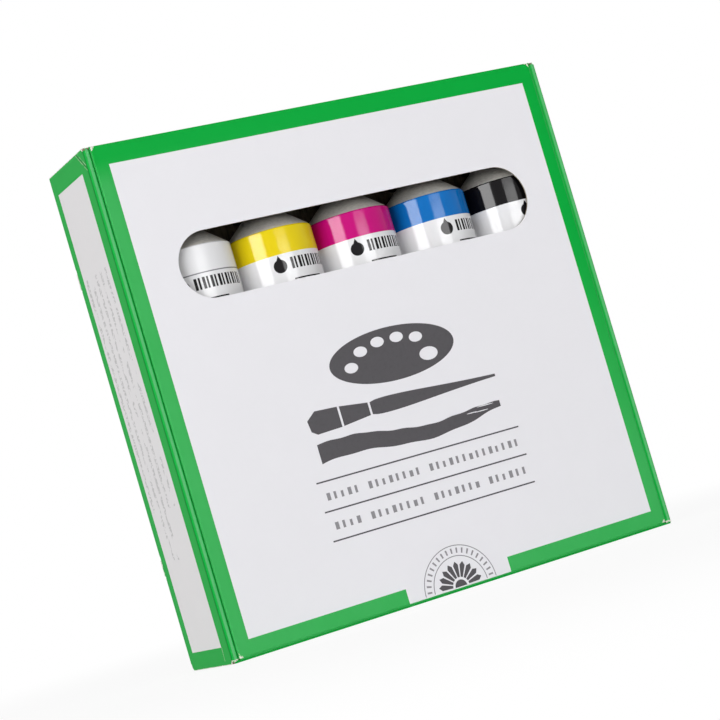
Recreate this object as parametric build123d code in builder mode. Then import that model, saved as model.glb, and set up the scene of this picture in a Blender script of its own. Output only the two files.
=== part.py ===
"""Gouache paint set box: a folding carton of printed chipboard with five paint tubes.

The box stands on its bottom wall, as it does on a shelf. +Z is up, the lid faces -Y and +X is to
the viewer's right. The origin is under the middle of the box. All sizes are in millimetres.

The carton is a roll-end tray: both side walls are double, rolled over at the front with two folds,
and locked to the back panel by two tabs each. The lid is hinged on the crease of the top wall and
closes with a tuck flap that slides in over the bottom wall, and with two side flaps. Its inside is
as large as the row of tubes and the room around it.
"""
from build123d import *
from math import cos, pi, radians, sin
import os

os.makedirs("parts", exist_ok=True)

# Chipboard and its folds
board = 0.6  # thickness
flap_room = 1.05  # space inside a double side wall, for the corner flaps
edge_round = 0.45  # outside radius of a plain fold
rim_round = 0.75  # outside radius of the two folds of a rim
rim_depth = 1.12  # from the lid's face to the fold line of the rim
fold_gap = 0.25  # play in a crease between two panels that move
lid_gap = 0.3  # play around the lid and its flaps

# Room around the row of tubes
row_left_room = 11.74
row_right_room = 0.54
seal_side_room = 0.3  # in front of the seals and behind them
cap_head_room = 14.0

# Locking tabs and their slots
tab_length = 7.0
tab_inset = 36.1  # middle of a tab, from the foot and from the top of the box
slot_play = 0.3

# Corner flaps between the two boards of a side wall
corner_flap_reach = 28.0
corner_flap_setback = 2.0  # clear of the rim and of the back panel's fold
corner_flap_slope = 9.0  # how much narrower the free end is

# Notch at the foot of each side wall
foot_notch_depth = 0.7
foot_notch_height = 2.2
foot_round = 1.6

# Window in the lid, in front of the upper part of the tubes
window_width = 136.6
window_height = 23.0
window_offset = 0.75  # to the right of the middle
window_drop = 7.8  # its middle, below the shoulders of the tubes

# Tuck flap
tuck_depth = 22.0
tuck_side_setback = 2.5
tuck_corner_round = 9.0
tuck_lean = 6.5  # degrees from square, towards the inside

# Side flaps of the lid
ear_depth = 12.5
ear_top_setback = 28.0  # from the lid's hinge
ear_bottom_setback = 11.0  # from the tuck flap's fold
ear_corner_round = 6.0
ear_lean = 6.0  # degrees from square, towards the inside

# Tubes
tube_names = ("white", "yellow", "magenta", "blue", "black")
tube_radius = 15.4
tube_length = 130.5  # from the seal's foot to the shoulder
tube_gap = 0.3  # between neighbours
tube_lid_gap = 1.0
shoulder_bevel = 0.7
shoulder_height = 6.4
neck_base_radius = 7.2
neck_radius = 6.0
neck_height = 9.0
nozzle_radius = 2.2
nozzle_depth = 4.5
flat_length = 71.7  # from the seal's foot up to where the tube is round
flat_start = 0.1  # width of its two flat sides where they begin
seal_angle = 45.0  # the flat seal is turned this far from the lid's plane
seal_thickness = 1.4
seal_height = 4.6
seal_edge_round = 0.6
seal_rest_gap = 0.3  # between the seal and the tuck flap under it
pressed_thickness = 0.9
pressed_height = 1.6

# Screw caps
cap_radius = 10.0
cap_height = 16.5
cap_play = 0.3  # to the neck and to the shoulder
cap_top_wall = 1.8
cap_ring_height = 2.0  # plain rim under the flutes
cap_crown_height = 1.8  # plain top over the flutes
cap_crown_bevel = 0.9
flute_count = 20
flute_radius = 1.1
flute_depth = 0.4

# How far a cutter runs past the face that it cuts
past = 1.0

# The row of tubes sets the inside of the box
seal_half_width = tube_radius * pi / 2
seal_reach_x = seal_half_width * cos(radians(seal_angle)) + seal_thickness / 2 * sin(radians(seal_angle))
seal_reach_y = seal_half_width * sin(radians(seal_angle)) + seal_thickness / 2 * cos(radians(seal_angle))
tube_pitch = 2 * tube_radius + tube_gap
row_reach = (len(tube_names) - 1) / 2 * tube_pitch + max(tube_radius, seal_reach_x)
rim_width = 2 * board + flap_room
inner_wall_x = row_reach + (row_left_room + row_right_room) / 2  # inner face of a double side wall
row_centre_x = (row_left_room - row_right_room) / 2

# Outside faces and lines of the box
half_width = inner_wall_x + rim_width
back_y = seal_reach_y + seal_side_room + board
front_y = -back_y
inner_front_y = front_y + board
inner_back_y = back_y - board
rim_y = front_y + rim_depth
lid_half_width = inner_wall_x - lid_gap
lid_foot_z = board + lid_gap
tuck_tip_z = lid_foot_z + tuck_depth * sin(radians(tuck_lean)) + board * cos(radians(tuck_lean))

# Heights up the tubes, and the box's own
tube_y = inner_front_y + tube_lid_gap + tube_radius
seal_z = tuck_tip_z + seal_rest_gap
shoulder_z = seal_z + tube_length
neck_foot_z = shoulder_z + shoulder_height
cap_foot_z = neck_foot_z + cap_play
box_height = cap_foot_z + cap_height + cap_head_room + board
tab_heights = (tab_inset, box_height - tab_inset)
slot_length = tab_length + 2 * slot_play
slot_width = rim_width - board + slot_play


def write(builder, label):
    """Name a finished piece and store it."""
    builder.part.label = label
    export_step(builder.part, f"parts/{label}.step")


# Back panel, with a slot at each locking tab
with BuildPart() as back_panel:
    with Locations((0, inner_back_y, box_height / 2)):
        Box(
            2 * (half_width - board),
            board,
            box_height - 2 * board,
            align=(Align.CENTER, Align.MIN, Align.CENTER),
        )
    for side in (-1, 1):
        slot_x = side * (half_width - board - slot_width / 2)
        with Locations(*[(slot_x, back_y, z) for z in tab_heights]):
            Box(slot_width, 2 * (board + past), slot_length, mode=Mode.SUBTRACT)
write(back_panel, "back_panel")

# Top wall, which carries the lid's crease
with BuildPart() as top_wall:
    with Locations((0, inner_front_y + fold_gap, box_height - board)):
        Box(
            2 * (half_width - board),
            back_y - inner_front_y - fold_gap,
            board,
            align=(Align.CENTER, Align.MIN, Align.MIN),
        )
    fillet(top_wall.edges().filter_by(Axis.X).group_by(Axis.Y)[-1].sort_by(Axis.Z)[-1], edge_round)
write(top_wall, "top_wall")

# Bottom wall, which the box stands on
with BuildPart() as bottom_wall:
    with Locations((0, front_y, 0)):
        Box(2 * (half_width - board), back_y - front_y, board, align=(Align.CENTER, Align.MIN, Align.MIN))
    fillet(bottom_wall.edges().filter_by(Axis.X).group_by(Axis.Y)[-1].sort_by(Axis.Z)[0], edge_round)
write(bottom_wall, "bottom_wall")


def side_wall(side):
    """Outer board of a side wall, with the notch and round corner at its foot."""
    notch_y = back_y - foot_notch_depth
    with BuildPart() as wall:
        with BuildSketch(Plane.YZ.offset(side * (half_width - board))):
            with BuildLine():
                Polyline(
                    (rim_y, 0),
                    (rim_y, box_height),
                    (back_y, box_height),
                    (back_y, foot_notch_height),
                    (notch_y, foot_notch_height),
                    (notch_y, foot_round),
                )
                RadiusArc((notch_y, foot_round), (notch_y - foot_round, 0), foot_round)
                Line((notch_y - foot_round, 0), (rim_y, 0))
            make_face()
        extrude(amount=side * board)
        back_edges = wall.edges().filter_by(Axis.Z).group_by(Axis.Y)[-1]
        fillet(back_edges.sort_by(Axis.X)[-1 if side > 0 else 0], edge_round)
        with Locations(*[(side * half_width, back_y, z) for z in tab_heights]):
            Box(2 * (board + past), 2 * board, slot_length, mode=Mode.SUBTRACT)
    return wall


def rolled_wall(side):
    """Rim with its two folds and inner board of a side wall, in one piece, with two locking tabs."""
    outer_x = side * half_width
    inner_x = side * inner_wall_x
    foot_z = lid_foot_z
    head_z = box_height - board - lid_gap
    with BuildPart() as wall:
        with BuildSketch(Plane.XY.offset(foot_z)):
            with BuildLine():
                FilletPolyline(
                    (outer_x, rim_y),
                    (outer_x, front_y),
                    (inner_x, front_y),
                    (inner_x, inner_back_y),
                    radius=rim_round,
                )
                offset(amount=board, side=Side.RIGHT if side > 0 else Side.LEFT)
            make_face()
        extrude(amount=head_z - foot_z)
        # above the inner board the rim runs on to the top of the box, mitred towards the lid
        with BuildSketch(Plane.XZ.offset(-front_y)):
            with BuildLine():
                Polyline(
                    (outer_x - side * rim_round, head_z),
                    (outer_x - side * rim_round, box_height),
                    (inner_x + side * rim_round, head_z),
                    close=True,
                )
            make_face()
        extrude(amount=-board)
        with Locations(*[(inner_x + side * board / 2, inner_back_y, z) for z in tab_heights]):
            Box(board, board, tab_length, align=(Align.CENTER, Align.MIN, Align.CENTER))
    return wall


for side, word in ((-1, "left"), (1, "right")):
    write(side_wall(side), f"{word}_wall")
    write(rolled_wall(side), f"{word}_rolled_wall")


def corner_flap(side, end):
    """Glue flap of the top or bottom wall, folded in between the boards of a side wall."""
    root_z = board if end < 0 else box_height - board
    tip_z = root_z - end * corner_flap_reach
    near_y = rim_y + corner_flap_setback
    far_y = inner_back_y - corner_flap_setback
    with BuildPart() as flap:
        with BuildSketch(Plane.YZ.offset(side * (half_width - rim_width / 2) - board / 2)):
            with BuildLine():
                Polyline(
                    (near_y, root_z),
                    (far_y, root_z),
                    (far_y, tip_z + end * corner_flap_slope),
                    (far_y - corner_flap_slope, tip_z),
                    (near_y, tip_z),
                    close=True,
                )
            make_face()
        extrude(amount=board)
    return flap


for end, end_word in ((1, "top"), (-1, "bottom")):
    for side, word in ((-1, "left"), (1, "right")):
        write(corner_flap(side, end), f"{end_word}_{word}_corner_flap")

# Lid panel with its window
with BuildPart() as lid_panel:
    with BuildSketch(Plane.XZ.offset(-front_y)):
        with Locations((0, lid_foot_z)):
            Rectangle(2 * lid_half_width, box_height - lid_foot_z, align=(Align.CENTER, Align.MIN))
        with Locations((window_offset, shoulder_z - window_drop)):
            SlotOverall(window_width, window_height, mode=Mode.SUBTRACT)
    extrude(amount=-board)
    front_edges = lid_panel.faces().sort_by(Axis.Y)[0].edges().filter_by(GeomType.LINE)
    level_edges = front_edges.filter_by(Axis.X).sort_by(Axis.Z)
    fillet([level_edges[0], level_edges[-1], *front_edges.filter_by(Axis.Z)], edge_round)
write(lid_panel, "lid_panel")

# Tuck flap, leaning a little inwards from the lid's lower fold
tuck_plane = Plane(
    origin=(0, front_y, lid_foot_z),
    x_dir=(1, 0, 0),
    z_dir=(0, -sin(radians(tuck_lean)), cos(radians(tuck_lean))),
)
with BuildPart() as tuck_flap:
    with BuildSketch(tuck_plane):
        with Locations((0, board + fold_gap)):
            Rectangle(
                2 * (lid_half_width - tuck_side_setback),
                tuck_depth - board - fold_gap,
                align=(Align.CENTER, Align.MIN),
            )
        fillet(vertices().group_by(Axis.Y)[-1], tuck_corner_round)
    extrude(amount=board)
write(tuck_flap, "tuck_flap")


def lid_side_flap(side):
    """Small flap on the lid's side edge, leaning inwards so that it clears the side wall."""
    lean = radians(ear_lean)
    plane = Plane(
        origin=(side * lid_half_width, front_y, 0),
        x_dir=(-side * sin(lean), cos(lean), 0),
        z_dir=(-side * cos(lean), -sin(lean), 0),
    )
    foot = lid_foot_z + ear_bottom_setback
    head = box_height - ear_top_setback
    # in the flap's plane +X runs into the box; +Y runs down on the left flap, up on the right one
    up = plane.y_dir.Z
    with BuildPart() as flap:
        with BuildSketch(plane):
            with Locations((board + fold_gap, up * (foot + head) / 2)):
                Rectangle(ear_depth - board - fold_gap, head - foot, align=(Align.MIN, Align.CENTER))
            fillet(vertices().group_by(Axis.X)[-1], ear_corner_round)
        extrude(amount=board)
    return flap


for side, word in ((-1, "left"), (1, "right")):
    write(lid_side_flap(side), f"lid_{word}_flap")


def paint_tube(axis_x):
    """Aluminium tube: cone shoulder, neck, round body flattened towards a folded seal."""
    nozzle_z = neck_foot_z + neck_height
    round_z = seal_z + flat_length
    pressed_z = seal_z + seal_height
    flat_z = pressed_z + pressed_height
    seal_x = Vector(cos(radians(seal_angle)), sin(radians(seal_angle)), 0)

    def level(y, z):
        """Level plane with its X along the seal."""
        return Plane(origin=(axis_x, y, z), x_dir=seal_x, z_dir=(0, 0, 1))

    with BuildPart() as tube:
        with BuildSketch(Plane(origin=(axis_x, tube_y, 0), x_dir=(1, 0, 0), z_dir=(0, -1, 0))):
            with BuildLine():
                Polyline(
                    (0, round_z),
                    (tube_radius, round_z),
                    (tube_radius, shoulder_z - shoulder_bevel),
                    (tube_radius - shoulder_bevel, shoulder_z),
                    (neck_base_radius, neck_foot_z),
                    (neck_radius, neck_foot_z),
                    (neck_radius, nozzle_z),
                    (nozzle_radius, nozzle_z),
                    (nozzle_radius, nozzle_z - nozzle_depth),
                    (0, nozzle_z - nozzle_depth),
                    close=True,
                )
            make_face()
        revolve(axis=Axis((axis_x, tube_y, 0), (0, 0, 1)))
        # the girth stays the same all the way down: two flat sides widen between two half cones
        with BuildSketch(level(tube_y, round_z)):
            SlotCenterToCenter(flat_start, 2 * tube_radius)
        with BuildSketch(level(0, flat_z)):
            SlotOverall(2 * seal_half_width, pressed_thickness)
        loft(ruled=True)
        with BuildSketch(level(0, pressed_z)):
            SlotOverall(2 * seal_half_width, pressed_thickness)
        extrude(amount=pressed_height)
        with BuildSketch(level(0, seal_z)):
            RectangleRounded(2 * seal_half_width, seal_thickness, seal_edge_round)
        extrude(amount=seal_height)
    return tube


def screw_cap(axis_x):
    """Cap that turns on the neck: plain rim, fluted side and round crown."""
    fluted_z = cap_foot_z + cap_ring_height
    crown_z = cap_foot_z + cap_height - cap_crown_height
    with BuildPart() as cap:
        with BuildSketch(Plane((axis_x, tube_y, cap_foot_z))):
            Circle(cap_radius)
        extrude(amount=cap_ring_height)
        with BuildSketch(Plane((axis_x, tube_y, fluted_z))):
            Circle(cap_radius)
            with PolarLocations(cap_radius + flute_radius - flute_depth, flute_count):
                Circle(flute_radius, mode=Mode.SUBTRACT)
        extrude(amount=crown_z - fluted_z)
        with BuildSketch(Plane((axis_x, tube_y, crown_z))):
            Circle(cap_radius - flute_depth)
        extrude(amount=cap_crown_height)
        chamfer(cap.faces().sort_by(Axis.Z)[-1].edges(), cap_crown_bevel)
        with BuildSketch(Plane((axis_x, tube_y, cap_foot_z))):
            Circle(neck_radius + cap_play)
        extrude(amount=cap_height - cap_top_wall, mode=Mode.SUBTRACT)
    return cap


for index, colour in enumerate(tube_names):
    axis_x = row_centre_x + (index - (len(tube_names) - 1) / 2) * tube_pitch
    write(paint_tube(axis_x), f"{colour}_tube")
    write(screw_cap(axis_x), f"{colour}_cap")
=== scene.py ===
"""Gouache paint set box: printed and varnished chipboard, aluminium paint tubes, and a pale studio.

Lengths are in metres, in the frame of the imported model: +Z is up, the lid faces -Y and +X is to the
right of someone who faces the lid.
"""

from math import atan2, cos, pi, radians, sin, sqrt

import bmesh
import bpy
from bpy.props import FloatProperty, FloatVectorProperty, PointerProperty
from mathutils import Matrix, Vector


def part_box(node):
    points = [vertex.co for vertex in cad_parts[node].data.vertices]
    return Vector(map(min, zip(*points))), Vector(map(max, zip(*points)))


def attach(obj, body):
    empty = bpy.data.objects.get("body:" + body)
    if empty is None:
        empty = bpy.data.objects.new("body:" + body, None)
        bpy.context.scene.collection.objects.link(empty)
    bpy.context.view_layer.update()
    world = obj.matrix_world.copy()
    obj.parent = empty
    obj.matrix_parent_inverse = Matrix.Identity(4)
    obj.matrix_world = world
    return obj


bl_info = {
    "name": "Gouache paint set box",
    "version": (1, 0, 0),
    "blender": (4, 5, 0),
    "location": "3D View > Sidebar > Paint box",
    "description": "Prints the carton, finishes the paint tubes and sets up the studio",
    "category": "Object",
}

MM = 0.001
COLOURS = ("white", "yellow", "magenta", "blue", "black")

# Sizes of the model that no box in the frame gives
RIM_ROUND = 0.75 * MM  # radius of a rim's two edges
TAB_INSET = 36.1 * MM  # middle of a locking tab, from the foot or the head of the box
TUBE_RADIUS = 15.4 * MM
TUBE_LID_GAP = 1.0 * MM
CAP_ABOVE_SHOULDER = 6.7 * MM
SEAL_BARE = 6.4 * MM  # height of the bare metal at a tube's seal

BLUR = 0.06 * MM  # over which the print ends at an edge
SKIN = 0.1 * MM  # depth under a printed face that still counts as that face
PRINT_GLOSS = 0.05  # specular level of varnished print
TUBE_GLOSS = 0.16  # specular level of a tube's lacquer

# How far each tube's marks are turned from the front, along its girth
TURNS = {"white": -10.2 * MM, "yellow": -5.5 * MM, "magenta": -6.6 * MM, "blue": -1.9 * MM, "black": 0.6 * MM}

# Name, azimuth in degrees, foot, head, width, distance, and whether gloss alone sees it. A shine stands
# a little in front of its lamp, because a ray that meets two lamps at one place may miss the second.
LAMPS = (
    ("left_lamp", 58, 0.0, 0.85, 1.28, 2.1, False),
    ("left_shine", 58, 0.0, 0.83, 1.24, 2.04, True),
    ("front_lamp", -8, 0.0, 0.42, 1.28, 2.1, False),
    ("front_shine", -8, 0.0, 0.41, 1.1, 2.04, True),
    ("high_lamp", 5, 1.0, 2.6, 2.2, 2.2, False),
    ("back_lamp", 205, 0.3, 1.9, 2.4, 2.2, False),
)

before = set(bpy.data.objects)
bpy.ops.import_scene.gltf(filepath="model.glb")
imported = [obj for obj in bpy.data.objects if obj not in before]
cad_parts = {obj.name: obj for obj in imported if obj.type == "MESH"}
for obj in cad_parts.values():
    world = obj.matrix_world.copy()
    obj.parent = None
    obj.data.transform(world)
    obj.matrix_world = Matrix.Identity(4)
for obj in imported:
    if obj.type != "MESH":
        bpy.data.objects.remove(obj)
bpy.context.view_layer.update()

# Places of the carton, read from the frame
lid_low, lid_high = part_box("lid_panel")
wall_low, wall_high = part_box("right_wall")
rim_low, rim_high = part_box("right_rolled_wall")
board = wall_high.x - wall_low.x
front_y = lid_low.y
back_y = wall_high.y
box_top = lid_high.z
half_width = wall_high.x
rim_y = wall_low.y
inner_wall_x = rim_low.x
rim_middle_x = (half_width + inner_wall_x) / 2


def srgb(red, green, blue):
    """A colour as ink or paint is matched, 0 to 255, as the linear values that shaders take."""
    return tuple(
        c / 12.92 if c <= 0.04045 else ((c + 0.055) / 1.055) ** 2.4
        for c in (red / 255, green / 255, blue / 255)
    )


def length(name, description, default):
    """Setting for a length."""
    return FloatProperty(
        name=name, description=description, default=default, subtype="DISTANCE", unit="LENGTH", precision=5
    )


def colour(name, description, default):
    """Setting for a colour."""
    return FloatVectorProperty(
        name=name, description=description, default=default, subtype="COLOR", size=3, min=0, max=1
    )


def number(name, description, default):
    """Setting for a plain number."""
    return FloatProperty(name=name, description=description, default=default)


class PaintBoxPrint(bpy.types.PropertyGroup):
    """Inks of the carton and the places of its printed panels."""

    green: colour("Green", "Ink of the frame on every panel", srgb(0, 161, 57))
    white: colour("White", "Varnished white of the lid", srgb(226, 225, 229))
    label: colour("Label white", "Duller white of the side and back panels", srgb(224, 222, 223))
    grey: colour("Grey", "Ink of the motifs", srgb(84, 82, 85))
    fine_grey: colour("Fine grey", "Ink of the small blocks and the rosette", srgb(138, 136, 140))
    raw: colour("Raw board", "Unlined inside of the chipboard", srgb(158, 146, 128))
    fibre: colour("Fibre", "White lining where the print has rubbed off", srgb(236, 232, 222))
    side_margin: length("Side margin", "Green beside the white of the lid", 4.75 * MM)
    head_margin: length("Head margin", "Green above the white of the lid", 6.8 * MM)
    foot_margin: length("Foot margin", "Green below the white of the lid", 5.3 * MM)
    gap_left: length("Gap left", "Left end of the gap in the lower green bar", -21.6 * MM)
    gap_right: length("Gap right", "Right end of the gap in the lower green bar", 19.2 * MM)
    label_front: length("Label front", "Front edge of a side wall's label, along Y", -12.1 * MM)
    label_back: length("Label back", "Back edge of a side wall's label, along Y", 14.0 * MM)
    label_foot: length("Label foot", "Foot of a side wall's label", 6.0 * MM)
    label_head: length("Label head", "Head of a side wall's label", 165.6 * MM)
    back_margin: length("Back margin", "Green around the panel on the back", 6.0 * MM)
    inner_bleed: length("Inner bleed", "Green that runs over a fold to the inside", 8.0 * MM)


class PaintBoxWindow(bpy.types.PropertyGroup):
    """Window in the lid, for the raw edge that is cut through the board."""

    width: length("Width", "Width of the window", 136.6 * MM)
    height: length("Height", "Height of the window, twice the radius of its ends", 23.0 * MM)
    centre_x: length("Centre X", "Middle of the window", 0.75 * MM)
    centre_z: length("Centre Z", "Middle of the window above the floor", 127.0 * MM)


class PaintBoxTubes(bpy.types.PropertyGroup):
    """Print of the tubes."""

    yellow: colour("Yellow", "Band of the yellow tube", srgb(222, 198, 8))
    magenta: colour("Magenta", "Band of the magenta tube", srgb(190, 0, 116))
    blue: colour("Blue", "Band of the blue tube", srgb(0, 104, 180))
    black: colour("Black", "Band of the black tube", srgb(12, 10, 12))
    white: colour("White", "Lacquer of the tubes and band of the white one", srgb(222, 222, 224))
    ink: colour("Ink", "Marks on the white lacquer", srgb(22, 20, 22))
    metal: colour("Metal", "Bare aluminium of shoulder, neck and seal", srgb(232, 229, 222))
    band: length("Band", "Height of the coloured band under the shoulder", 9.5 * MM)
    drop: length("Drop", "Radius of the drop mark", 2.3 * MM)


class PaintBoxStage(bpy.types.PropertyGroup):
    """Lamps, floor and camera."""

    left_lamp: number("Left lamp", "Radiance of the soft lamp on the left", 7.3)
    front_lamp: number("Front lamp", "Radiance of the low soft lamp in front", 5.6)
    left_shine: number("Left shine", "Radiance of the left lamp as gloss shows it", 20.0)
    front_shine: number("Front shine", "Radiance of the front lamp as gloss shows it", 14.5)
    back_lamp: number("Back lamp", "Radiance of the soft lamp behind the box", 1.5)
    high_lamp: number("High lamp", "Radiance of the large lamp above them", 1.3)
    fill: number("Fill", "Radiance of the surroundings on the object", 0.3)
    floor: colour("Floor", "Pale floor", srgb(244, 244, 244))
    lens: FloatProperty(
        name="Lens",
        description="Focal length of the camera",
        default=103.55,
        subtype="DISTANCE_CAMERA",
        unit="CAMERA",
    )


class Finish:
    """A material in the making, with a short call for each kind of node that it needs."""

    def __init__(self, name):
        self.material = bpy.data.materials.new(name)
        self.material.use_nodes = True
        self.tree = self.material.node_tree
        self.shader = self.tree.nodes["Principled BSDF"]
        self.place = self.node("ShaderNodeTexCoord").outputs["Object"]
        split = self.node("ShaderNodeSeparateXYZ", Vector=self.place)
        self.x, self.y, self.z = split.outputs

    def node(self, kind, options=None, **inputs):
        """A node with its options set, and its inputs linked or set by name."""
        node = self.tree.nodes.new(kind)
        for key, value in (options or {}).items():
            setattr(node, key, value)
        for key, value in inputs.items():
            self.put(node.inputs[key.replace("_", " ")], value)
        return node

    def put(self, socket, value):
        """Links a socket to another one, or sets its value."""
        if isinstance(value, bpy.types.NodeSocket):
            self.tree.links.new(value, socket)
        elif socket.type == "RGBA" and len(value) == 3:
            socket.default_value = (*value, 1)
        else:
            socket.default_value = value

    def math(self, operation, *values):
        """One step of arithmetic."""
        node = self.tree.nodes.new("ShaderNodeMath")
        node.operation = operation
        for socket, value in zip(node.inputs, values):
            self.put(socket, value)
        return node.outputs[0]

    def step(self, value, low, high):
        """0 below low, 1 above high, and smooth between them. It falls where low is above high."""
        if low > high:
            return self.without(self.step(value, high, low))
        options = {"interpolation_type": "SMOOTHSTEP"}
        node = self.node("ShaderNodeMapRange", options, Value=value, From_Min=low, From_Max=high)
        return node.outputs["Result"]

    def inside(self, value, low, high, soft=0.03 * MM):
        """1 between low and high, 0 outside them."""
        return self.both(self.step(value, low - soft, low + soft), self.step(value, high + soft, high - soft))

    def both(self, *masks):
        """1 where all masks are 1."""
        result = masks[0]
        for mask in masks[1:]:
            result = self.math("MULTIPLY", result, mask)
        return result

    def any(self, *masks):
        """1 where a mask is 1."""
        result = masks[0]
        for mask in masks[1:]:
            result = self.math("MAXIMUM", result, mask)
        return result

    def without(self, mask):
        """1 where the mask is 0."""
        return self.math("SUBTRACT", 1.0, mask)

    def noise(self, scale, detail=2.0, roughness=0.5, stretch=None):
        """Cloudy values from 0 to 1. The scale is per metre."""
        place = self.place
        if stretch:
            place = self.node("ShaderNodeMapping", Vector=place, Scale=stretch).outputs[0]
        node = self.node("ShaderNodeTexNoise", Vector=place, Scale=scale, Detail=detail, Roughness=roughness)
        return node.outputs["Fac"]

    def hypotenuse(self, first, second):
        """Long side of a right triangle with these two short sides."""
        squares = [self.math("MULTIPLY", side, side) for side in (first, second)]
        return self.math("SQRT", self.math("ADD", *squares))

    def mix(self, share, first, second):
        """Colour between first, at share 0, and second, at share 1."""
        node = self.tree.nodes.new("ShaderNodeMix")
        node.data_type = "RGBA"
        self.put(node.inputs["Factor"], share)
        self.put(node.inputs["A"], first)
        self.put(node.inputs["B"], second)
        return node.outputs["Result"]

    def shade(self, tint, share, darker=0.8):
        """A colour made darker by a share from 0 to 1."""
        node = self.tree.nodes.new("ShaderNodeMix")
        node.data_type = "RGBA"
        node.blend_type = "MULTIPLY"
        self.put(node.inputs["Factor"], share)
        self.put(node.inputs["A"], tint)
        self.put(node.inputs["B"], (darker, darker, darker))
        return node.outputs["Result"]

    def bump(self, height, distance, strength=1.0):
        """Small relief from a height of 0 to 1."""
        node = self.node("ShaderNodeBump", Height=height, Distance=distance, Strength=strength)
        return node.outputs["Normal"]

    def finish(self, **inputs):
        """Sets the shader's inputs and gives the material."""
        for key, value in inputs.items():
            self.put(self.shader.inputs[key.replace("_", " ")], value)
        return self.material


def wear_by_line(f, distance, reach):
    """Rubbed fibres close to a fold or cut edge: distance runs from the edge inwards."""
    ragged = f.math("MULTIPLY", f.noise(1100, 4, 0.7), reach * 1.6)
    rubbed = f.math("SUBTRACT", ragged, distance)
    return f.step(rubbed, 0.0, 0.25 * MM)


def streak(f, start, end, half):
    """1 on a straight line on a side wall, from start to end, both (y, z)."""
    run_y, run_z = end[0] - start[0], end[1] - start[1]
    run = sqrt(run_y**2 + run_z**2)
    from_y = f.math("SUBTRACT", f.y, start[0])
    from_z = f.math("SUBTRACT", f.z, start[1])
    step_y, step_z = run_y / run, run_z / run
    along = f.math("ADD", f.math("MULTIPLY", from_y, step_y), f.math("MULTIPLY", from_z, step_z))
    beside = f.math("SUBTRACT", f.math("MULTIPLY", from_y, step_z), f.math("MULTIPLY", from_z, step_y))
    return f.both(f.step(f.math("ABSOLUTE", beside), half, half * 0.5), f.inside(along, 0.0, run, 0.3 * MM))


def painted_sheen(f, ink, share, reach=0.14):
    """Green ink mixed towards a milky green where share is 1, in a cloudy way: a painted sheen of the
    varnish.
    """
    clouded = f.math("MULTIPLY", share, f.math("MULTIPLY_ADD", f.noise(55, 3, 0.6), 0.5, 0.75))
    return f.mix(f.math("MULTIPLY", clouded, reach), ink, srgb(150, 216, 172))


def board_finish(f, printed, ink, rubbed=None):
    """Chipboard: varnished print on a white lining where printed is 1, and raw fibres elsewhere."""
    prints = bpy.context.scene.paint_box_print
    cloud = f.noise(90, 3, 0.6)
    fleck = f.noise(2600, 5, 0.75)
    fibres = f.noise(900, 4, 0.7, stretch=(1.0, 1.0, 0.16))
    tint = f.shade(ink, f.math("MULTIPLY", cloud, 0.16), 0.86)
    tint = f.shade(tint, f.step(fleck, 0.6, 0.78), 0.965)
    dark_fibre = tuple(c * 0.62 for c in prints.raw)
    light_fibre = tuple(min(1, c * 1.5) for c in prints.raw)
    raw = f.mix(f.step(fibres, 0.35, 0.68), tuple(prints.raw), dark_fibre)
    raw = f.mix(f.step(fleck, 0.6, 0.72), raw, light_fibre)
    base = f.mix(printed, raw, tint)
    gloss = f.math("MULTIPLY_ADD", printed, -0.52, 0.93)
    gloss = f.math("MULTIPLY_ADD", cloud, 0.06, gloss)
    if rubbed is not None:
        base = f.mix(rubbed, base, f.shade(tuple(prints.fibre), fleck, 0.75))
        gloss = f.math("MAXIMUM", gloss, f.math("MULTIPLY", rubbed, 0.85))
    tooth = f.math("MULTIPLY_ADD", f.noise(1500, 3, 0.6), 0.5, f.math("MULTIPLY", fibres, 0.5))
    relief = f.bump(tooth, 0.02 * MM, 0.35)
    return f.finish(
        Base_Color=base, Roughness=gloss, Normal=relief, IOR=1.45, Specular_IOR_Level=PRINT_GLOSS
    )


def dress(node, material):
    """Gives a CAD node its material."""
    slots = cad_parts[node].data.materials
    slots.clear()
    slots.append(material)


def window_distance(f):
    """Distance from the outline of the lid's window, below 0 inside it, from the window's size."""
    window = bpy.context.scene.paint_box_window
    straight = (window.width - window.height) / 2
    along = f.math("SUBTRACT", f.math("ABSOLUTE", f.math("SUBTRACT", f.x, window.centre_x)), straight)
    along = f.math("MAXIMUM", along, 0.0)
    up = f.math("SUBTRACT", f.z, window.centre_z)
    reach = f.hypotenuse(along, up)
    return f.math("SUBTRACT", reach, window.height / 2)


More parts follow.
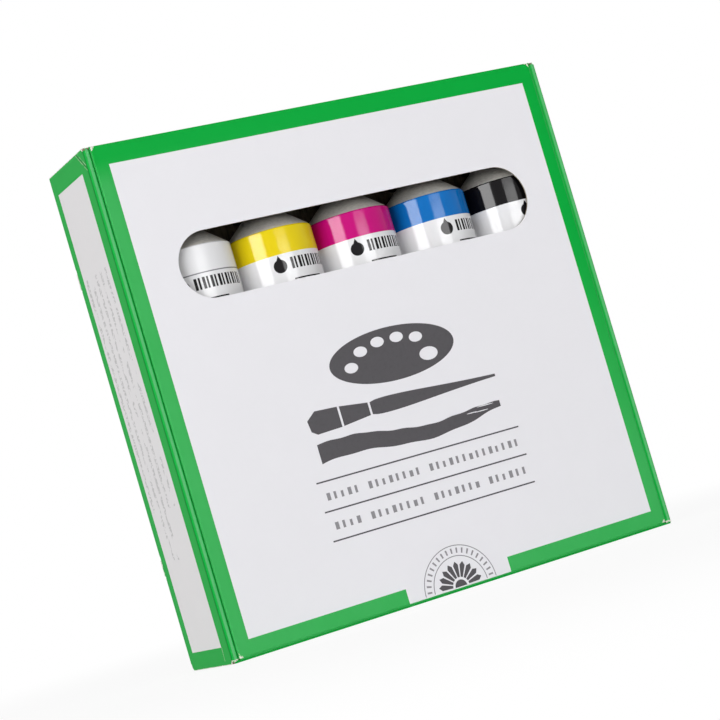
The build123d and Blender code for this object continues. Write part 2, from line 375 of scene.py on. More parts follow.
def lid_finish():
    """Lid: white panel in a green frame whose lower bar has a gap, raw edge at the window."""
    prints = bpy.context.scene.paint_box_print
    f = Finish("lid_print")
    panel = f.both(
        f.inside(f.x, lid_low.x + prints.side_margin, lid_high.x - prints.side_margin),
        f.inside(f.z, lid_low.z + prints.foot_margin, box_top - prints.head_margin),
    )
    gap_head = lid_low.z + 10 * MM
    gap = f.both(
        f.inside(f.x, prints.gap_left, prints.gap_right), f.step(f.z, gap_head, gap_head - 0.1 * MM)
    )
    # painted sheen: the green is milkier on the left and towards the foot, and not at the head
    sheen_share = f.both(
        f.any(f.step(f.x, 50 * MM, -75 * MM), f.step(f.z, 115 * MM, 5 * MM)),
        f.step(f.z, box_top - 4 * MM, box_top - 16 * MM),
    )
    green = painted_sheen(f, tuple(prints.green), sheen_share)
    ink = f.mix(f.any(panel, gap), green, tuple(prints.white))
    behind = f.step(f.y, front_y + board - 2 * BLUR, front_y + board - BLUR)
    cut = f.both(
        f.step(window_distance(f), 2 * BLUR, BLUR), f.step(f.y, front_y + 0.05 * MM, front_y + 0.11 * MM)
    )
    edge_x = f.math("SUBTRACT", lid_high.x, f.math("ABSOLUTE", f.x))
    edge_z = f.math("MINIMUM", f.math("SUBTRACT", box_top, f.z), f.math("SUBTRACT", f.z, lid_low.z))
    corner = f.math("MAXIMUM", f.math("ADD", edge_x, edge_z), 0.0)
    rubbed = wear_by_line(f, corner, 2.2 * MM)
    printed = f.both(f.without(behind), f.without(cut))
    return board_finish(f, printed, ink, f.both(rubbed, printed))


def fine_print(f):
    """Five upright rows of tiny dashes on a side wall. The second and third from the back run lower."""
    pitch, middle, half = 4.72 * MM, 1.7 * MM, 0.85 * MM
    head, foot_z, lower_foot_z = 135 * MM, 54 * MM, 37 * MM
    soft = 0.1 * MM
    row = f.math("FRACT", f.math("DIVIDE", f.math("SUBTRACT", f.y, middle - pitch / 2), pitch))
    beside = f.math("MULTIPLY", f.math("ABSOLUTE", f.math("SUBTRACT", row, 0.5)), pitch)
    rows = f.both(
        f.step(beside, half + soft, half), f.inside(f.y, middle - 2.5 * pitch, middle + 2.5 * pitch)
    )
    lower_rows = f.inside(f.y, middle - pitch / 2, middle + 1.5 * pitch)
    foot = f.any(
        f.step(f.z, foot_z, foot_z + soft), f.both(f.step(f.z, lower_foot_z, lower_foot_z + soft), lower_rows)
    )
    words = f.step(f.noise(150, 1, 0.5, stretch=(0.2, 1.6, 1.0)), 0.4, 0.43)
    dashes = f.step(f.noise(1500, 1, 0.5, stretch=(0.2, 0.7, 1.0)), 0.46, 0.52)
    return f.both(rows, foot, f.step(f.z, head, head - soft), words, dashes)


def back_fold(f):
    """1 where a wall folds round to the back panel."""
    return f.step(f.y, back_y - 0.5 * MM, back_y - 0.42 * MM)


def wall_finish(side):
    """Outer board of a side wall: green frame, white label, faint lines of fine print on the left."""
    prints = bpy.context.scene.paint_box_print
    f = Finish("left_wall_print" if side < 0 else "right_wall_print")
    label = f.both(
        f.inside(f.y, prints.label_front, prints.label_back),
        f.inside(f.z, prints.label_foot, prints.label_head),
    )
    # the side's green carries a faint painted sheen all over
    ink = f.mix(label, painted_sheen(f, tuple(prints.green), 1.0, 0.05), tuple(prints.label))
    if side < 0:
        ink = f.shade(ink, f.math("MULTIPLY", fine_print(f), 0.45), 0.35)
    # pale creases beside the mitre fold at the head and one at the foot, each from start to end
    crease_lines = (
        ((rim_y, box_top - 7.2 * MM), (rim_y + 6.9 * MM, box_top - 0.3 * MM), 0.22 * MM),
        ((rim_y, box_top - 5.6 * MM), (rim_y + 5.2 * MM, box_top - 0.3 * MM), 0.2 * MM),
        ((rim_y + 5.5 * MM, 1.1 * MM), (rim_y + 5.0 * MM, 6.0 * MM), 0.18 * MM),
    )
    creases = f.both(
        f.any(*[streak(f, *line) for line in crease_lines]), f.step(f.noise(500, 3, 0.7), 0.36, 0.56)
    )
    # painted shade: a darker streak along the mitre fold between the creases, and a darker line at the front
    # edge of the side beside the rim
    fold = f.both(
        streak(f, (rim_y, box_top - 6.4 * MM), (rim_y + 6.1 * MM, box_top - 0.4 * MM), 0.5 * MM),
        f.without(creases),
    )
    edge_shade = f.step(f.y, rim_y + 0.22 * MM, rim_y + 0.1 * MM)
    ink = f.shade(ink, f.any(f.math("MULTIPLY", edge_shade, 0.7), f.math("MULTIPLY", fold, 0.8)), 0.5)
    ink = f.mix(f.math("MULTIPLY", creases, 0.45), ink, tuple(prints.fibre))
    out = f.math("MULTIPLY", f.x, side)
    outer = f.step(out, half_width - SKIN - BLUR, half_width - SKIN)
    round_back = f.both(back_fold(f), f.step(out, wall_low.x + SKIN, wall_low.x + SKIN + BLUR))
    printed = f.any(outer, round_back)
    edge_z = f.math("MINIMUM", f.math("SUBTRACT", box_top, f.z), f.z)
    rubbed = wear_by_line(f, f.math("MAXIMUM", edge_z, 0.0), 0.35 * MM)
    corner_y = f.math("SUBTRACT", f.y, rim_y)
    corner = wear_by_line(f, f.math("ADD", edge_z, corner_y), 1.4 * MM)
    return board_finish(f, printed, ink, f.both(f.any(rubbed, corner), printed))


def rolled_wall_finish(side):
    """Rim and inner board of a side wall: green that runs over the rim, then the white lining."""
    prints = bpy.context.scene.paint_box_print
    f = Finish("left_rim_print" if side < 0 else "right_rim_print")
    out = f.math("MULTIPLY", f.x, side)
    ink = f.mix(
        f.step(f.y, rim_y + prints.inner_bleed, rim_y + prints.inner_bleed + 0.1 * MM),
        tuple(prints.green),
        tuple(prints.label),
    )
    # depth under the face of the rim, whose outline is a rectangle with two round corners
    beside = f.math("ABSOLUTE", f.math("SUBTRACT", out, rim_middle_x))
    across = f.math("SUBTRACT", beside, half_width - rim_middle_x - RIM_ROUND)
    ahead = f.math("SUBTRACT", front_y + RIM_ROUND, f.y)
    round_x = f.math("MAXIMUM", across, 0.0)
    round_y = f.math("MAXIMUM", ahead, 0.0)
    reach = f.hypotenuse(round_x, round_y)
    within = f.math("MINIMUM", f.math("MAXIMUM", across, ahead), 0.0)
    outside = f.math("SUBTRACT", f.math("ADD", reach, within), RIM_ROUND)
    printed = f.step(outside, -SKIN - BLUR, -SKIN)
    # painted highlight: a milky light green strip along the middle of the rim's face
    crest_highlight = f.both(
        f.step(beside, 0.75 * MM, 0.2 * MM), f.step(f.y, front_y + 0.3 * MM, front_y + 0.1 * MM)
    )
    ink = painted_sheen(f, ink, crest_highlight, 0.32)
    # painted shade: a darker line on the rim's outer rounded edge, where it turns away
    edge_shade = f.both(
        f.step(f.y, front_y + 0.3 * MM, front_y + 0.5 * MM),
        f.step(out, rim_middle_x, rim_middle_x + 0.1 * MM),
    )
    ink = f.shade(ink, f.math("MULTIPLY", edge_shade, 0.6), 0.5)
    edge_z = f.math("MINIMUM", f.math("SUBTRACT", rim_high.z, f.z), f.math("SUBTRACT", f.z, rim_low.z))
    rubbed = wear_by_line(f, f.math("MAXIMUM", edge_z, 0.0), 0.6 * MM)
    ends = f.step(f.math("ABSOLUTE", edge_z), 0.12 * MM, 0.05 * MM)
    return board_finish(f, printed, ink, f.any(f.both(rubbed, printed), ends))


def back_finish():
    """Back panel: green frame around a bare white panel."""
    prints = bpy.context.scene.paint_box_print
    f = Finish("back_print")
    margin = prints.back_margin
    panel = f.both(
        f.inside(f.x, margin - half_width, half_width - margin), f.inside(f.z, margin, box_top - margin)
    )
    ink = f.mix(panel, tuple(prints.green), tuple(prints.label))
    return board_finish(f, f.step(f.y, back_y - SKIN, back_y - SKIN + BLUR), ink)


def end_wall_finish(name, outer_z, inward):
    """Top or bottom wall: plain green outside, with its fold to the back panel."""
    prints = bpy.context.scene.paint_box_print
    f = Finish(name)
    depth = f.math("MULTIPLY", f.math("SUBTRACT", f.z, outer_z), inward)
    flat = f.step(depth, 2 * BLUR, BLUR)
    fold = f.both(back_fold(f), f.step(depth, board, board - BLUR))
    # painted shade: the board's cut front edge is a darker green
    front = f.step(f.y, front_y + 2 * BLUR, front_y + BLUR)
    ink = f.shade(tuple(prints.green), f.both(front, f.without(flat)), 0.85)
    return board_finish(f, f.any(flat, fold, front), ink)


def flap_finish(name, low, lean, under):
    """Flap of the lid that leans by an angle, with low as the least corner of its box.

    under(f) is how far a point lies from the printed side of that box.
    """
    prints = bpy.context.scene.paint_box_print
    f = Finish(name)
    bleed = f.math("SUBTRACT", f.y, low.y)
    ink = f.mix(
        f.step(bleed, prints.inner_bleed, prints.inner_bleed + 0.1 * MM),
        tuple(prints.green),
        tuple(prints.label),
    )
    across = f.math("MULTIPLY", under(f), cos(lean))
    depth = f.math("SUBTRACT", across, f.math("MULTIPLY", bleed, sin(lean)))
    return board_finish(f, f.step(depth, 0.08 * MM + BLUR, 0.08 * MM), ink)


def raw_finish():
    """Corner flap: raw chipboard."""
    return board_finish(Finish("raw_board"), 0.0, tuple(bpy.context.scene.paint_box_print.raw))


class PAINTBOX_OT_carton(bpy.types.Operator):
    """Print the walls, the rims, the lid and its flaps"""

    bl_idname = "paintbox.carton"
    bl_label = "Carton"

    def execute(self, context):
        dress("lid_panel", lid_finish())
        for word, side in (("left", -1), ("right", 1)):
            dress(f"{word}_wall", wall_finish(side))
            dress(f"{word}_rolled_wall", rolled_wall_finish(side))
        dress("back_panel", back_finish())
        dress("top_wall", end_wall_finish("top_print", box_top, -1))
        dress("bottom_wall", end_wall_finish("bottom_print", 0.0, 1))
        raw = raw_finish()
        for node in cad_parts:
            if node.endswith("corner_flap"):
                dress(node, raw)
        self.dress_flaps()
        return {"FINISHED"}

    def dress_flaps(self):
        """The tuck flap and the two side flaps of the lid, each a leaning board."""
        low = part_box("tuck_flap")[0]
        lean = lean_of("tuck_flap", 1, 2)
        finish = flap_finish("tuck_print", low, lean, lambda f: f.math("SUBTRACT", f.z, low.z))
        dress("tuck_flap", finish)
        for word, side in (("left", -1), ("right", 1)):
            node = f"lid_{word}_flap"
            low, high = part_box(node)
            outer_x = high.x if side > 0 else -low.x

            def under(f):
                return f.math("SUBTRACT", outer_x, f.math("MULTIPLY", f.x, side))

            dress(node, flap_finish(f"{word}_flap_print", low, lean_of(node, 1, 0), under))


def strip(name, low, high, material, body):
    """Strip of board with soft edges between two corners, which rides on a body."""
    shape = bmesh.new()
    bmesh.ops.create_cube(shape, size=1.0)
    for vertex in shape.verts:
        vertex.co = [low[i] if vertex.co[i] < 0 else high[i] for i in range(3)]
    bmesh.ops.bevel(shape, geom=shape.edges[:], offset=0.07 * MM, segments=2, profile=0.5, affect="EDGES")
    mesh = bpy.data.meshes.new(name)
    shape.to_mesh(mesh)
    shape.free()
    mesh.materials.append(material)
    piece = bpy.data.objects.new(name, mesh)
    bpy.context.scene.collection.objects.link(piece)
    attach(piece, body)


class PAINTBOX_OT_folds(bpy.types.Operator):
    """Lay strips of board at the edges of the lid, where the real carton has folds and no gaps"""

    bl_idname = "paintbox.folds"
    bl_label = "Folds"

    def execute(self, context):
        green = tuple(context.scene.paint_box_print.green)
        f = Finish("fold_print")
        # the green of these strips carries a faint painted sheen
        fold = board_finish(f, 1.0, painted_sheen(f, green, 1.0, 0.1))
        f = Finish("frayed_fold_print")
        frayed = board_finish(f, 1.0, green, f.step(f.noise(900, 4, 0.7), 0.42, 0.56))
        near, far = front_y + 0.15 * MM, front_y + 0.56 * MM
        tuck = 0.2 * MM  # how far a strip goes under the edge of the lid
        for word, side in (("left", -1), ("right", 1)):
            edges = sorted((side * (lid_high.x - tuck), side * (inner_wall_x - 0.05 * MM)))
            low = (edges[0], near, lid_low.z + tuck)
            high = (edges[1], far, rim_high.z)
            strip(f"lid_{word}_fold", low, high, fold, "lid")
            ends = sorted((side * (inner_wall_x + 0.1 * MM), side * (half_width - 0.15 * MM)))
            low = (ends[0], front_y + 0.08 * MM, board - 0.05 * MM)
            high = (ends[1], far, rim_low.z + 0.12 * MM)
            strip(f"{word}_rim_foot", low, high, frayed, "carton")
            ends = sorted((side * (half_width - 0.08 * MM), side * (half_width - board)))
            for index, tab_z in enumerate((TAB_INSET, box_top - TAB_INSET)):
                low = (ends[0], back_y - 0.55 * MM, tab_z - 3.2 * MM)
                high = (ends[1], back_y + 0.4 * MM, tab_z + 2.4 * MM)
                strip(f"{word}_tab_edge_{index + 1}", low, high, frayed, "carton")
        low = (lid_low.x + tuck, near, board + 0.04 * MM)
        high = (lid_high.x - tuck, far, lid_low.z + tuck)
        strip("lid_foot_fold", low, high, fold, "lid")
        top_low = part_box("top_wall")[0]
        low = (lid_low.x + tuck, front_y + board + 0.03 * MM, box_top - board + 0.05 * MM)
        high = (lid_high.x - tuck, top_low.y + 0.1 * MM, box_top - 0.06 * MM)
        strip("top_crease_fold", low, high, fold, "carton")
        return {"FINISHED"}


def lean_of(node, along, across):
    """How far a flat board leans from the axis along, towards the axis across, from its largest face."""
    face = max(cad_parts[node].data.polygons, key=lambda polygon: polygon.area)
    return abs(atan2(face.normal[along], face.normal[across])) % pi


def tube_finish(name):
    """Tube: lacquered white with a coloured band and black marks, bare metal at both ends."""
    tubes = bpy.context.scene.paint_box_tubes
    low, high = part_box(f"{name}_tube")
    cap_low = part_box(f"{name}_cap")[0]
    shoulder_z = cap_low.z - CAP_ABOVE_SHOULDER
    axis_x = (low.x + high.x) / 2
    axis_y = front_y + board + TUBE_LID_GAP + TUBE_RADIUS
    f = Finish(f"{name}_tube_print")
    from_x = f.math("SUBTRACT", f.x, axis_x)
    from_y = f.math("SUBTRACT", axis_y, f.y)
    around = f.math("MULTIPLY", f.math("ARCTAN2", from_x, from_y), TUBE_RADIUS)
    around = f.math("SUBTRACT", around, TURNS[name])
    band_foot = shoulder_z - tubes.band
    banded = f.step(f.z, band_foot - 0.04 * MM, band_foot + 0.04 * MM)
    # a drop: a circle whose two tangents meet above it
    up = f.math("SUBTRACT", f.z, band_foot - 6.3 * MM + tubes.drop)
    reach = f.hypotenuse(around, up)
    tip = f.math("MULTIPLY", f.math("SUBTRACT", 3.7 * MM, up), 0.52)
    past_tip = f.math("SUBTRACT", f.math("ABSOLUTE", around), tip)
    drop = f.any(
        f.step(reach, tubes.drop + BLUR, tubes.drop - BLUR),
        f.both(f.step(past_tip, BLUR, -BLUR), f.step(up, 0.3 * MM, 1.0 * MM)),
    )
    # beside it a row of plain bars, a wide and a narrow one in turn, over a rule
    marks_left = 3.6 * MM
    bar_pitch = 2.9 * MM
    share = f.math("FRACT", f.math("DIVIDE", f.math("SUBTRACT", around, marks_left), bar_pitch))
    bars = f.both(
        f.any(f.inside(share, 0.1, 0.44, 0.02), f.inside(share, 0.6, 0.84, 0.02)),
        f.inside(around, marks_left, 24.0 * MM, BLUR),
        f.inside(f.z, band_foot - 5.7 * MM, band_foot - 1.7 * MM, BLUR),
    )
    rule = f.both(
        f.inside(f.z, band_foot - 9.4 * MM, band_foot - 8.9 * MM), f.inside(around, marks_left, 15 * MM)
    )
    marks = f.any(drop, bars, rule)
    base = f.mix(f.both(marks, f.without(banded)), tuple(tubes.white), tuple(tubes.ink))
    base = f.mix(banded, base, tuple(getattr(tubes, name)))
    if name == "white":
        # the white band shows only by the line under it
        line = f.inside(f.z, band_foot - 0.45 * MM, band_foot - 0.05 * MM)
        base = f.mix(line, base, srgb(120, 120, 124))
    seal_head = low.z + SEAL_BARE
    bare = f.any(
        f.step(f.z, shoulder_z - 0.35 * MM, shoulder_z - 0.25 * MM),
        f.step(f.z, seal_head, seal_head - 0.1 * MM),
    )
    cloud = f.noise(160, 4, 0.6)
    brushed = f.noise(700, 3, 0.6, stretch=(1.0, 1.0, 6.0))
    dark_metal = tuple(c * 0.75 for c in tubes.metal)
    metal = f.mix(f.step(brushed, 0.3, 0.75), tuple(tubes.metal), dark_metal)
    base = f.mix(bare, f.shade(base, f.math("MULTIPLY", cloud, 0.12), 0.9), metal)
    gloss = f.math("MULTIPLY_ADD", bare, 0.36, f.math("MULTIPLY_ADD", cloud, 0.05, 0.07))
    dents = f.math("ADD", f.noise(60, 2, 0.5), f.math("MULTIPLY", f.noise(1800, 3, 0.6), 0.05))
    return f.finish(
        Base_Color=base,
        Metallic=f.math("MULTIPLY", bare, 0.55),
        Roughness=gloss,
        Normal=f.bump(dents, 0.12 * MM, 0.4),
        IOR=1.5,
        Specular_IOR_Level=TUBE_GLOSS,
    )


def cap_finish():
    """Moulded black plastic with a fine satin skin."""
    f = Finish("cap_plastic")
    skin = f.noise(3800, 3, 0.65)
    base = f.mix(f.step(f.noise(130, 2, 0.5), 0.35, 0.75), srgb(22, 22, 24), srgb(34, 34, 36))
    gloss = f.math("MULTIPLY_ADD", skin, 0.18, 0.3)
    return f.finish(Base_Color=base, Roughness=gloss, Normal=f.bump(skin, 0.01 * MM, 0.5), IOR=1.49)


class PAINTBOX_OT_tubes(bpy.types.Operator):
    """Print the tubes and finish their caps"""

    bl_idname = "paintbox.tubes"
    bl_label = "Tubes"

    def execute(self, context):
        cap = cap_finish()
        for name in COLOURS:
            dress(f"{name}_tube", tube_finish(name))
            dress(f"{name}_cap", cap)
        return {"FINISHED"}


def ink_finish(name, ink):
    """Printed ink of a motif: even, with a faint mottle and the sheen of the varnish over it."""
    f = Finish(name)
    mottle = f.noise(700, 4, 0.7)
    base = f.shade(ink, f.step(mottle, 0.45, 0.8), 0.88)
    gloss = f.math("MULTIPLY_ADD", mottle, 0.08, 0.4)
    relief = f.bump(mottle, 0.01 * MM, 0.4)
    return f.finish(
        Base_Color=base, Roughness=gloss, Normal=relief, IOR=1.45, Specular_IOR_Level=PRINT_GLOSS
    )


def printed_motif(name, outlines, material):
    """A motif on the lid, from closed outlines of (x, z) points; an outline inside another is a hole."""
    curve = bpy.data.curves.new(name, "CURVE")
    curve.dimensions = "2D"
    curve.fill_mode = "BOTH"
    curve.extrude = 0.012 * MM
    for outline in outlines:
        spline = curve.splines.new("POLY")
        spline.points.add(len(outline) - 1)
        for point, (x, z) in zip(spline.points, outline):
            point.co = (x, z, 0, 1)
        spline.use_cyclic_u = True
    source = bpy.data.objects.new(name, curve)
    place = Matrix.Translation((0, front_y - curve.extrude, 0))
    source.matrix_world = place @ Matrix.Rotation(pi / 2, 4, "X")
    bpy.context.scene.collection.objects.link(source)
    bpy.context.view_layer.update()
    graph = bpy.context.evaluated_depsgraph_get()
    mesh = bpy.data.meshes.new_from_object(source.evaluated_get(graph))
    mesh.transform(source.matrix_world)
    bpy.data.objects.remove(source)
    piece = bpy.data.objects.new(name, mesh)
    bpy.context.scene.collection.objects.link(piece)
    mesh.materials.clear()
    mesh.materials.append(material)
    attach(piece, "lid")


def ellipse(centre_x, centre_z, wide, high, start=0.0, end=2 * pi, steps=72):
    """Points of an ellipse or of a part of it, anticlockwise."""
    count = max(3, round(steps * (end - start) / (2 * pi)))
    closed = end - start >= 2 * pi
    angles = [start + (end - start) * i / (count if closed else count - 1) for i in range(count)]
    return [(centre_x + wide * cos(a), centre_z + high * sin(a)) for a in angles]


def block(left, foot, right, head):
    """Points of a rectangle."""
    return [(left, foot), (right, foot), (right, head), (left, head)]


class PAINTBOX_OT_motifs(bpy.types.Operator):
    """Print the palette, the brush, the rules, the rows of blocks and the half rosette on the lid"""

    bl_idname = "paintbox.motifs"
    bl_label = "Motifs"

    def execute(self, context):
        prints = bpy.context.scene.paint_box_print
        dark = ink_finish("motif_ink", tuple(prints.grey))
        fine = ink_finish("fine_ink", tuple(prints.fine_grey))
        self.palette(dark)
        self.brush(dark)
        self.rules(dark, fine)
        self.rosette(dark, fine)
        return {"FINISHED"}

    def palette(self, ink):
        """Painter's palette with a thumb hole and five wells."""
        centre_x, centre_z = -1.0 * MM, 83.6 * MM
        wide, high = 24.5 * MM, 9.2 * MM
        outlines = [ellipse(centre_x, centre_z, wide, high)]
        outlines.append(ellipse(centre_x + 13.5 * MM, centre_z - 3.0 * MM, 3.6 * MM, 2.3 * MM, steps=36))
        for x, z in ((-16.6, -1.4), (-11.6, 3.2), (-4.4, 5.0), (3.2, 5.1), (10.4, 3.6)):
            outlines.append(ellipse(centre_x + x * MM, centre_z + z * MM, 2.6 * MM, 1.75 * MM, steps=30))
        printed_motif("palette_motif", outlines, ink)

    def brush(self, ink):
        """Flat brush over the stroke that it has painted."""
        axis_z = 67.5 * MM
        hair = [(-38.5, -2.6), (-36.5, -3.9), (-27.0, -3.5), (-27.0, 3.5), (-35.5, 3.9), (-39.0, 1.2)]
        ferrule = [(-26.2, -3.4), (-15.5, -2.2), (-15.5, 2.2), (-26.2, 3.4)]
        handle_left, handle_run, steps = -14.7, 50.0, 24
        edge = []
        for t in [i / steps for i in range(steps + 1)]:
            belly = 1.2 * sin(pi * t**0.6) * (1 - t)
            edge.append((handle_left + handle_run * t, 0.45 + 1.65 * (1 - t) + belly))
        handle = [(x, -wide) for x, wide in edge] + edge[::-1]
        for name, points in (("hair", hair), ("ferrule", ferrule), ("handle", handle)):
            outline = [(x * MM, axis_z + z * MM) for x, z in points]
            printed_motif(f"brush_{name}_motif", [outline], ink)
        self.stroke(ink)

    def stroke(self, ink):
        """Wavy stroke of a flat brush, which narrows and breaks up into streaks at its end."""
        stroke_z = 56.2 * MM
        left, run, steps = -38, 72, 40
        narrows = 0.86  # share of the run after which the stroke ends in a point

        def wave(t):
            return 1.5 * sin(2.2 * pi * t + 0.6)

        top = []
        foot = []
        for t in [i / steps for i in range(steps + 1)]:
            x = (left + run * t) * MM
            half = 3.3 * (1 - 0.45 * t) * (1 if t < narrows else 1 - 0.5 * (t - narrows) / 0.14)
            ragged = 0.25 * sin(37 * t) * sin(11 * t)
            top.append((x, stroke_z + (wave(t) + half + ragged) * MM))
            foot.append((x, stroke_z + (wave(t) - half + 0.2 * sin(29 * t)) * MM))
        outlines = [foot + top[::-1]]
        for x, lift, length_mm in ((31.0, 0.9, 9.0), (28.5, -0.4, 7.5), (24.0, 0.35, 5.5)):
            z = stroke_z + (wave((x - left) / run) + lift) * MM
            centre_x = (x - length_mm / 3) * MM
            outlines.append(ellipse(centre_x, z, length_mm / 2.6 * MM, 0.16 * MM, steps=16))
        printed_motif("brush_stroke_motif", outlines, ink)

    def rules(self, dark, fine):
        """Three rules with a row of small blocks in each space between them."""
        heights = (48.1, 38.15, 28.2)
        for index, z in enumerate(heights):
            outline = block(-42.2 * MM, (z - 0.25) * MM, 38.4 * MM, (z + 0.25) * MM)
            printed_motif(f"rule_{index + 1}", [outline], dark)
        row_left, row_run = -39.8, 77.5
        groups = ((5, 8, 14), (4, 8, 7, 6))  # how many blocks stand together in each row
        for row, sizes in enumerate(groups):
            middle = (heights[row] + heights[row + 1]) / 2 - 0.2
            foot = (middle - 1.25) * MM
            pitch = row_run / (sum(sizes) + len(sizes) - 1)
            outlines = []
            place = 0
            for size in sizes:
                for index in range(size):
                    left = row_left + place * pitch
                    right = left + pitch * (0.34 if index % 3 else 0.5)
                    head = (middle + (1.25 if index % 4 != 2 else 0.85)) * MM
                    outlines.append(block(left * MM, foot, right * MM, head))
                    place += 1
                place += 1
            printed_motif(f"block_row_{row + 1}", outlines, fine)

    def rosette(self, dark, fine):
        """Half rosette that the lid's lower edge cuts off: petals inside two thin rings and rays."""
        centre_x, centre_z = -1.0 * MM, lid_low.z + 0.55 * MM

        def from_centre(points):
            return [(centre_x + r * cos(a), centre_z + r * sin(a)) for r, a in points]

        petals = []
        count = 9
        inner, outer = 3.2 * MM, 8.6 * MM
        half = pi / count * 0.36
        for index in range(count):
            middle = pi * (index + 0.5) / count
            points = [(inner, middle - half), (outer * 0.86, middle - half * 1.05), (outer, middle)]
            points += [(outer * 0.86, middle + half * 1.05), (inner, middle + half)]
            petals.append(from_centre(points))
        petals.append(ellipse(centre_x, centre_z, 2.3 * MM, 2.3 * MM, 0, pi))
        printed_motif("rosette_petals", petals, dark)
        rings = []
        thick = 0.3 * MM
        for outer in (14.2 * MM, 10.6 * MM):
            edge = ellipse(centre_x, centre_z, outer, outer, 0, pi)
            rings.append(edge + ellipse(centre_x, centre_z, outer - thick, outer - thick, 0, pi)[::-1])
        count = 19
        inner, outer = 11.4 * MM, 13.2 * MM
        half = 0.28 * MM / inner
        for index in range(count):
            angle = pi * (index + 0.5) / count
            ray = [(inner, angle - half), (outer, angle - half), (outer, angle + half), (inner, angle + half)]
            rings.append(from_centre(ray))
        printed_motif("rosette_rings", rings, fine)


def soft_lamp(name, azimuth, low, high, width, distance, shine, radiance):
    """Upright rectangular lamp that either lights matt surfaces or, as a shine, shows in gloss alone.

    Azimuth 0 is straight in front of the lid, and positive is to its left.
    """
    angle = radians(azimuth)
    outwards = Vector((-sin(angle), -cos(angle), 0))
    lamp = bpy.data.lights.new(name, "AREA")
    lamp.shape = "RECTANGLE"
    lamp.size = width
    lamp.size_y = high - low
    lamp.energy = radiance * pi * lamp.size * lamp.size_y
    holder = bpy.data.objects.new(name, lamp)
    holder.visible_diffuse = not shine
    holder.visible_glossy = shine
    holder.location = outwards * distance + Vector((0, 0, (low + high) / 2))
    holder.rotation_euler = (-outwards).to_track_quat("-Z", "Y").to_euler()
    bpy.context.scene.collection.objects.link(holder)


def pale_background(tree, seen, felt):
    """Shader that is seen by the camera, in gloss and through glass, and felt elsewhere."""
    paths = tree.nodes.new("ShaderNodeLightPath")
    direct = paths.outputs["Is Camera Ray"]
    for kind in ("Is Glossy Ray", "Is Transmission Ray"):
        either = tree.nodes.new("ShaderNodeMath")
        either.operation = "MAXIMUM"
        tree.links.new(direct, either.inputs[0])
        tree.links.new(paths.outputs[kind], either.inputs[1])
        direct = either.outputs[0]
    mixed = tree.nodes.new("ShaderNodeMixShader")
    tree.links.new(direct, mixed.inputs["Fac"])
    tree.links.new(felt, mixed.inputs[1])
    tree.links.new(seen, mixed.inputs[2])
    return mixed.outputs[0]


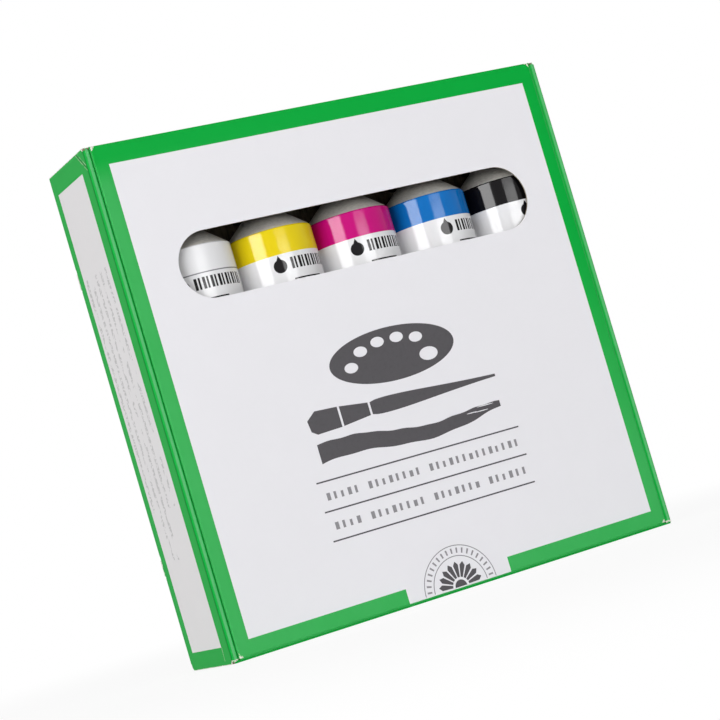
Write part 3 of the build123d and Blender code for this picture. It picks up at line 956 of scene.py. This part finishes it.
class PAINTBOX_OT_stage(bpy.types.Operator):
    """Set up the floor, the surroundings, the lamps and the camera"""

    bl_idname = "paintbox.stage"
    bl_label = "Stage"

    def execute(self, context):
        stage = context.scene.paint_box_stage
        self.floor(tuple(stage.floor))
        self.surroundings(stage.fill)
        for lamp in LAMPS:
            soft_lamp(*lamp, getattr(stage, lamp[0]))
        self.camera(stage.lens)
        context.scene.view_settings.view_transform = "Standard"
        return {"FINISHED"}

    def floor(self, tint):
        """Large pale floor that keeps the shadow near the box and glows white further away."""
        half = 6.0
        glow_from, glow_to, least_glow = 0.1, 0.4, 0.89
        corners = [(-half, -half, 0), (half, -half, 0), (half, half, 0), (-half, half, 0)]
        mesh = bpy.data.meshes.new("floor")
        mesh.from_pydata(corners, [], [(0, 1, 2, 3)])
        floor = bpy.data.objects.new("floor", mesh)
        bpy.context.scene.collection.objects.link(floor)
        material = bpy.data.materials.new("floor")
        material.use_nodes = True
        tree = material.node_tree
        shader = tree.nodes["Principled BSDF"]
        shader.inputs["Base Color"].default_value = (*tint, 1)
        shader.inputs["Roughness"].default_value = 0.9
        glow = tree.nodes.new("ShaderNodeEmission")
        place = tree.nodes.new("ShaderNodeTexCoord")
        away = tree.nodes.new("ShaderNodeVectorMath")
        away.operation = "LENGTH"
        tree.links.new(place.outputs["Object"], away.inputs[0])
        share = tree.nodes.new("ShaderNodeMapRange")
        share.interpolation_type = "SMOOTHSTEP"
        share.inputs["From Min"].default_value = glow_from
        share.inputs["From Max"].default_value = glow_to
        share.inputs["To Min"].default_value = least_glow
        tree.links.new(away.outputs["Value"], share.inputs["Value"])
        partly = tree.nodes.new("ShaderNodeMixShader")
        tree.links.new(share.outputs["Result"], partly.inputs["Fac"])
        tree.links.new(shader.outputs[0], partly.inputs[1])
        tree.links.new(glow.outputs[0], partly.inputs[2])
        result = pale_background(tree, partly.outputs[0], shader.outputs[0])
        tree.links.new(result, tree.nodes["Material Output"].inputs["Surface"])
        mesh.materials.append(material)

    def surroundings(self, fill):
        """White behind the object, and a plain fill light on it."""
        world = bpy.data.worlds.new("surroundings")
        bpy.context.scene.world = world
        world.use_nodes = True
        tree = world.node_tree
        felt = tree.nodes["Background"]
        felt.inputs["Color"].default_value = (1, 1, 1, 1)
        felt.inputs["Strength"].default_value = fill
        seen = tree.nodes.new("ShaderNodeBackground")
        seen.inputs["Color"].default_value = (1, 1, 1, 1)
        result = pale_background(tree, seen.outputs[0], felt.outputs[0])
        tree.links.new(result, tree.nodes["World Output"].inputs["Surface"])

    def camera(self, lens):
        """Camera at the photograph's viewing angle, low in front of the box and rolled to one side."""
        data = bpy.data.cameras.new("camera")
        data.lens = lens
        data.sensor_width = 36.0
        data.shift_x = 0.0226
        data.shift_y = 0.1324
        camera = bpy.data.objects.new("camera", data)
        # where it stands, where it looks and which way is up in the picture, as fitted to the photograph
        eye = Vector((-0.33524, -0.63450, 0.03404))
        ahead = Vector((0.4443, 0.8954, 0.0301)).normalized()
        up = Vector((0.2415, -0.1521, 0.9584))
        right = ahead.cross(up).normalized()
        up = right.cross(ahead)
        turn = Matrix((right, up, -ahead)).transposed().to_4x4()
        camera.matrix_world = Matrix.Translation(eye) @ turn
        bpy.context.scene.collection.objects.link(camera)
        bpy.context.scene.camera = camera


class PAINTBOX_PT_panel(bpy.types.Panel):
    """Lists the steps that dress the paint box"""

    bl_idname = "PAINTBOX_PT_panel"
    bl_label = "Paint box"
    bl_space_type = "VIEW_3D"
    bl_region_type = "UI"
    bl_category = "Paint box"

    def draw(self, context):
        for operator in OPERATORS:
            self.layout.operator(operator.bl_idname)


GROUPS = {
    "paint_box_print": PaintBoxPrint,
    "paint_box_window": PaintBoxWindow,
    "paint_box_tubes": PaintBoxTubes,
    "paint_box_stage": PaintBoxStage,
}
OPERATORS = (PAINTBOX_OT_carton, PAINTBOX_OT_folds, PAINTBOX_OT_tubes, PAINTBOX_OT_motifs, PAINTBOX_OT_stage)


def register():
    """Adds the settings, the operators and the panel."""
    for group in (*GROUPS.values(), *OPERATORS, PAINTBOX_PT_panel):
        bpy.utils.register_class(group)
    for name, group in GROUPS.items():
        setattr(bpy.types.Scene, name, PointerProperty(type=group))


def unregister():
    """Takes them away again."""
    for name in GROUPS:
        delattr(bpy.types.Scene, name)
    for group in (PAINTBOX_PT_panel, *reversed(OPERATORS), *reversed(GROUPS.values())):
        bpy.utils.unregister_class(group)


def main():
    """Builds the looks of every piece, then the stage."""
    register()
    bpy.ops.paintbox.carton()
    bpy.ops.paintbox.folds()
    bpy.ops.paintbox.tubes()
    bpy.ops.paintbox.motifs()
    bpy.ops.paintbox.stage()


if __name__ == "__main__":
    main()
